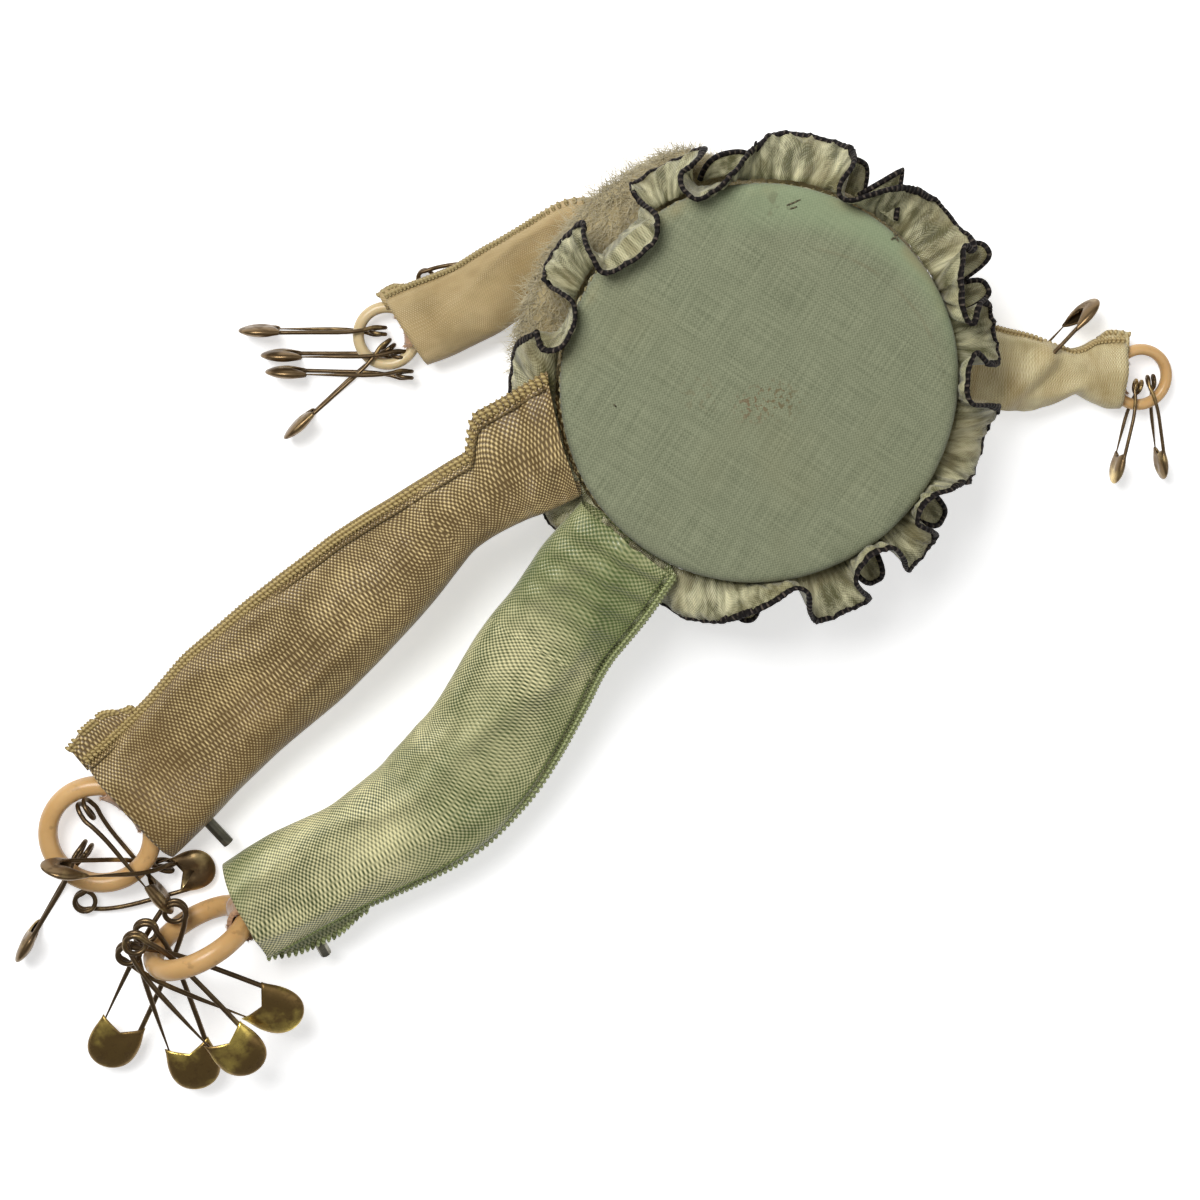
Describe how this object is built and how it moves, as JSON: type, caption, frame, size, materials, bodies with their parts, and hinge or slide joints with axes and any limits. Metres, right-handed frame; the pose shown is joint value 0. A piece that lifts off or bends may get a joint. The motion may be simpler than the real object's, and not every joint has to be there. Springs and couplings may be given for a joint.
{
  "type": "pincushion doll",
  "caption": "Round stuffed pincushion doll with a ribbon ruffle and ribbon limbs that end in rings holding safety pins, lying face down.",
  "frame": {"origin": "centre of the flat back face of the round body", "axes": "+Z out of the back face, which is up as the doll lies; +Y towards the top of the head; +X towards its right arm"},
  "size_m": [0.2201, 0.1834, 0.03],
  "materials": {
    "sage_cotton": "plain woven cotton with slubs",
    "card": "tan pasteboard",
    "wadding": "loose cotton wadding",
    "ivory_green_satin": "satin",
    "muslin": "plain muslin",
    "down": "soft down",
    "gold_ribbon": "satin ribbon with a fine dot weave",
    "sage_ribbon": "satin ribbon",
    "cream_ribbon": "ribbed ribbon",
    "flannel": "brushed flannel",
    "amber_plastic": "satin amber plastic",
    "ivory_plastic": "satin ivory plastic",
    "pin_wire": "tarnished wire",
    "pin_brass": "tarnished sheet brass"
  },
  "bodies": {
    "body": {"back_cover": "sage_cotton", "back_card": "card", "front_cover": "ivory_green_satin", "stuffing": "wadding", "face_patch": "muslin", "ruffle": "ivory_green_satin", "down_collar": "down"},
    "left_leg_upper": {"left_leg_upper_sleeve": "gold_ribbon"},
    "left_leg_lower": {"left_leg_lower_sleeve": "gold_ribbon", "left_leg_flannel": "flannel", "left_leg_crossbar": "pin_wire"},
    "left_leg_ring": {"left_leg_ring": "amber_plastic"},
    "left_leg_pin_1": {"left_leg_pin_1_back_wire": "pin_wire", "left_leg_pin_1_cap": "pin_brass"},
    "left_leg_pin_1_point": {"left_leg_pin_1_point_wire": "pin_wire"},
    "left_leg_pin_2": {"left_leg_pin_2_back_wire": "pin_wire", "left_leg_pin_2_cap": "pin_brass"},
    "left_leg_pin_2_point": {"left_leg_pin_2_point_wire": "pin_wire"},
    "right_leg_upper": {"right_leg_upper_sleeve": "sage_ribbon"},
    "right_leg_lower": {"right_leg_lower_sleeve": "sage_ribbon", "right_leg_flannel": "flannel", "right_leg_crossbar": "pin_wire"},
    "right_leg_ring": {"right_leg_ring": "amber_plastic"},
    "right_leg_pin_1": {"right_leg_pin_1_back_wire": "pin_wire", "right_leg_pin_1_cap": "pin_brass"},
    "right_leg_pin_1_point": {"right_leg_pin_1_point_wire": "pin_wire"},
    "right_leg_pin_2": {"right_leg_pin_2_back_wire": "pin_wire", "right_leg_pin_2_cap": "pin_brass"},
    "right_leg_pin_2_point": {"right_leg_pin_2_point_wire": "pin_wire"},
    "right_leg_pin_3": {"right_leg_pin_3_back_wire": "pin_wire", "right_leg_pin_3_cap": "pin_brass"},
    "right_leg_pin_3_point": {"right_leg_pin_3_point_wire": "pin_wire"},
    "right_leg_pin_4": {"right_leg_pin_4_back_wire": "pin_wire", "right_leg_pin_4_cap": "pin_brass"},
    "right_leg_pin_4_point": {"right_leg_pin_4_point_wire": "pin_wire"},
    "left_arm": {"left_arm_sleeve": "cream_ribbon", "left_arm_flannel": "flannel", "left_arm_sleeve_pin_wire": "pin_wire", "left_arm_sleeve_pin_cap": "pin_brass"},
    "left_arm_ring": {"left_arm_ring": "ivory_plastic"},
    "left_arm_pin_1": {"left_arm_pin_1_back_wire": "pin_wire", "left_arm_pin_1_cap": "pin_brass"},
    "left_arm_pin_1_point": {"left_arm_pin_1_point_wire": "pin_wire"},
    "left_arm_pin_2": {"left_arm_pin_2_back_wire": "pin_wire", "left_arm_pin_2_cap": "pin_brass"},
    "left_arm_pin_2_point": {"left_arm_pin_2_point_wire": "pin_wire"},
    "right_arm": {"right_arm_sleeve": "gold_ribbon", "right_arm_flannel": "flannel", "right_arm_sleeve_pin_wire": "pin_wire", "right_arm_sleeve_pin_cap": "pin_brass"},
    "right_arm_ring": {"right_arm_ring": "amber_plastic"},
    "right_arm_pin_1": {"right_arm_pin_1_back_wire": "pin_wire", "right_arm_pin_1_cap": "pin_brass"},
    "right_arm_pin_1_point": {"right_arm_pin_1_point_wire": "pin_wire"},
    "right_arm_pin_2": {"right_arm_pin_2_back_wire": "pin_wire", "right_arm_pin_2_cap": "pin_brass"},
    "right_arm_pin_2_point": {"right_arm_pin_2_point_wire": "pin_wire"}
  },
  "joints": [
    {"name": "left_leg_lift", "type": "hinge", "parent": "body", "child": "left_leg_upper", "pos_m": [-0.03639, -0.01061, -0.00399], "axis": [-0.2588, 0.9659, 0], "range_deg": [0, 22], "deforming": ["ruffle", "down_collar"]},
    {"name": "left_leg_knee", "type": "hinge", "parent": "left_leg_upper", "child": "left_leg_lower", "pos_m": [-0.0743, -0.04428, -0.01638], "axis": [-0.6763, 0.7367, 0], "range_deg": [-15, 12]},
    {"name": "right_leg_lift", "type": "hinge", "parent": "body", "child": "right_leg_upper", "pos_m": [-0.02362, -0.02969, -0.00426], "axis": [-0.7771, 0.6293, 0], "range_deg": [0, 22], "deforming": ["ruffle", "down_collar"]},
    {"name": "right_leg_knee", "type": "hinge", "parent": "right_leg_upper", "child": "right_leg_lower", "pos_m": [-0.0481, -0.07251, -0.01795], "axis": [-0.829, 0.5592, 0], "range_deg": [-15, 12]},
    {"name": "left_arm_lift", "type": "hinge", "parent": "body", "child": "left_arm", "pos_m": [-0.02464, 0.02014, -0.01938], "axis": [0.6293, 0.7771, 0], "range_deg": [-5, 25], "deforming": ["ruffle", "down_collar"]},
    {"name": "right_arm_lift", "type": "hinge", "parent": "body", "child": "right_arm", "pos_m": [0.03179, 0.00118, -0.01947], "axis": [0.0349, -0.9994, 0], "range_deg": [-5, 25], "deforming": ["ruffle", "down_collar"]},
    {"name": "left_leg_pin_1_open", "type": "hinge", "parent": "left_leg_pin_1", "child": "left_leg_pin_1_point", "pos_m": [-0.10926, -0.09395, -0.02743], "axis": [0.258, 0.9651, 0.0458], "range_deg": [0, 28], "stiffness_Nm_per_rad": 0.0008},
    {"name": "left_leg_pin_2_open", "type": "hinge", "parent": "left_leg_pin_2", "child": "left_leg_pin_2_point", "pos_m": [-0.1238, -0.08992, -0.02486], "axis": [0.8479, -0.5301, 0.0109], "range_deg": [0, 28], "stiffness_Nm_per_rad": 0.0008},
    {"name": "right_leg_pin_1_open", "type": "hinge", "parent": "right_leg_pin_1", "child": "right_leg_pin_1_point", "pos_m": [-0.11347, -0.10366, -0.01195], "axis": [-0.0588, 0.1261, -0.9903], "range_deg": [0, 28], "stiffness_Nm_per_rad": 0.0008},
    {"name": "right_leg_pin_2_open", "type": "hinge", "parent": "right_leg_pin_2", "child": "right_leg_pin_2_point", "pos_m": [-0.11522, -0.10704, -0.01577], "axis": [-0.0588, 0.1261, -0.9903], "range_deg": [0, 28], "stiffness_Nm_per_rad": 0.0008},
    {"name": "right_leg_pin_3_open", "type": "hinge", "parent": "right_leg_pin_3", "child": "right_leg_pin_3_point", "pos_m": [-0.11219, -0.10401, -0.01896], "axis": [-0.0588, 0.1261, -0.9903], "range_deg": [0, 28], "stiffness_Nm_per_rad": 0.0008},
    {"name": "right_leg_pin_4_open", "type": "hinge", "parent": "right_leg_pin_4", "child": "right_leg_pin_4_point", "pos_m": [-0.10692, -0.10159, -0.02246], "axis": [-0.0588, 0.1261, -0.9903], "range_deg": [0, 28], "stiffness_Nm_per_rad": 0.0008},
    {"name": "left_arm_pin_1_open", "type": "hinge", "parent": "left_arm_pin_1", "child": "left_arm_pin_1_point", "pos_m": [-0.06664, 0.00741, -0.02664], "axis": [-0.0171, -0.9997, -0.0153], "range_deg": [0, 28], "stiffness_Nm_per_rad": 0.0008},
    {"name": "left_arm_pin_2_open", "type": "hinge", "parent": "left_arm_pin_2", "child": "left_arm_pin_2_point", "pos_m": [-0.06513, 0.00445, -0.02655], "axis": [0.6555, -0.7549, 0.0221], "range_deg": [0, 28], "stiffness_Nm_per_rad": 0.0008},
    {"name": "right_arm_pin_1_open", "type": "hinge", "parent": "right_arm_pin_1", "child": "right_arm_pin_1_point", "pos_m": [0.07762, -0.0038, -0.02663], "axis": [0.9863, 0.1564, -0.0519], "range_deg": [0, 28], "stiffness_Nm_per_rad": 0.0008},
    {"name": "right_arm_pin_2_open", "type": "hinge", "parent": "right_arm_pin_2", "child": "right_arm_pin_2_point", "pos_m": [0.07497, -0.00464, -0.02649], "axis": [0.973, -0.225, -0.0506], "range_deg": [0, 28], "stiffness_Nm_per_rad": 0.0008},
    {"name": "left_leg_pin_1_swing", "type": "hinge", "parent": "left_leg_ring", "child": "left_leg_pin_1", "pos_m": [-0.11328, -0.09301, -0.0246], "axis": [-0.258, -0.9651, -0.0458], "range_deg": [-4, 4]},
    {"name": "left_leg_pin_2_swing", "type": "hinge", "parent": "left_leg_ring", "child": "left_leg_pin_2", "pos_m": [-0.12645, -0.09416, -0.02512], "axis": [-0.8479, 0.5301, -0.0109], "range_deg": [-3, 25]},
    {"name": "right_leg_pin_1_swing", "type": "hinge", "parent": "right_leg_ring", "child": "right_leg_pin_1", "pos_m": [-0.10929, -0.10919, -0.0129], "axis": [0.0588, -0.1261, 0.9903], "range_deg": [-10, 12]},
    {"name": "right_leg_pin_2_swing", "type": "hinge", "parent": "right_leg_ring", "child": "right_leg_pin_2", "pos_m": [-0.1107, -0.10932, -0.01633], "axis": [0.0588, -0.1261, 0.9903], "range_deg": [-12, 6]},
    {"name": "right_leg_pin_3_swing", "type": "hinge", "parent": "right_leg_ring", "child": "right_leg_pin_3", "pos_m": [-0.11089, -0.10889, -0.01966], "axis": [0.0588, -0.1261, 0.9903], "range_deg": [-12, 12]},
    {"name": "right_leg_pin_4_swing", "type": "hinge", "parent": "right_leg_ring", "child": "right_leg_pin_4", "pos_m": [-0.10989, -0.1079, -0.02309], "axis": [0.0588, -0.1261, 0.9903], "range_deg": [-12, 12]},
    {"name": "left_arm_pin_1_swing", "type": "hinge", "parent": "left_arm_ring", "child": "left_arm_pin_1", "pos_m": [-0.07013, 0.00747, -0.02654], "axis": [0.0171, 0.9997, 0.0153], "range_deg": [-2, 30]},
    {"name": "left_arm_pin_2_swing", "type": "hinge", "parent": "left_arm_ring", "child": "left_arm_pin_2", "pos_m": [-0.06777, 0.00216, -0.0265], "axis": [-0.6555, 0.7549, -0.0221], "range_deg": [-2, 30]},
    {"name": "right_arm_pin_1_swing", "type": "hinge", "parent": "right_arm_ring", "child": "right_arm_pin_1", "pos_m": [0.07814, -0.00705, -0.02647], "axis": [-0.9863, -0.1564, 0.0519], "range_deg": [-1, 25]},
    {"name": "right_arm_pin_2_swing", "type": "hinge", "parent": "right_arm_ring", "child": "right_arm_pin_2", "pos_m": [0.07424, -0.00785, -0.02627], "axis": [-0.973, 0.225, 0.0506], "range_deg": [-1, 25]},
    {"name": "left_leg_ring_flip", "type": "hinge", "parent": "left_leg_lower", "child": "left_leg_ring", "pos_m": [-0.11375, -0.07956, -0.02411], "axis": [-0.7193, 0.6947, 0], "range_deg": [-8, 8]},
    {"name": "right_leg_ring_flip", "type": "hinge", "parent": "right_leg_lower", "child": "right_leg_ring", "pos_m": [-0.09334, -0.10097, -0.018], "axis": [0.0588, -0.1261, 0.9903], "range_deg": [-8, 8]},
    {"name": "left_arm_ring_flip", "type": "hinge", "parent": "left_arm", "child": "left_arm_ring", "pos_m": [-0.06003, 0.008, -0.02602], "axis": [-0.2756, 0.9613, 0], "range_deg": [-8, 8]},
    {"name": "right_arm_ring_flip", "type": "hinge", "parent": "right_arm", "child": "right_arm_ring", "pos_m": [0.07004, -0.00292, -0.02606], "axis": [0.0349, -0.9994, 0], "range_deg": [-8, 8]}
  ]
}
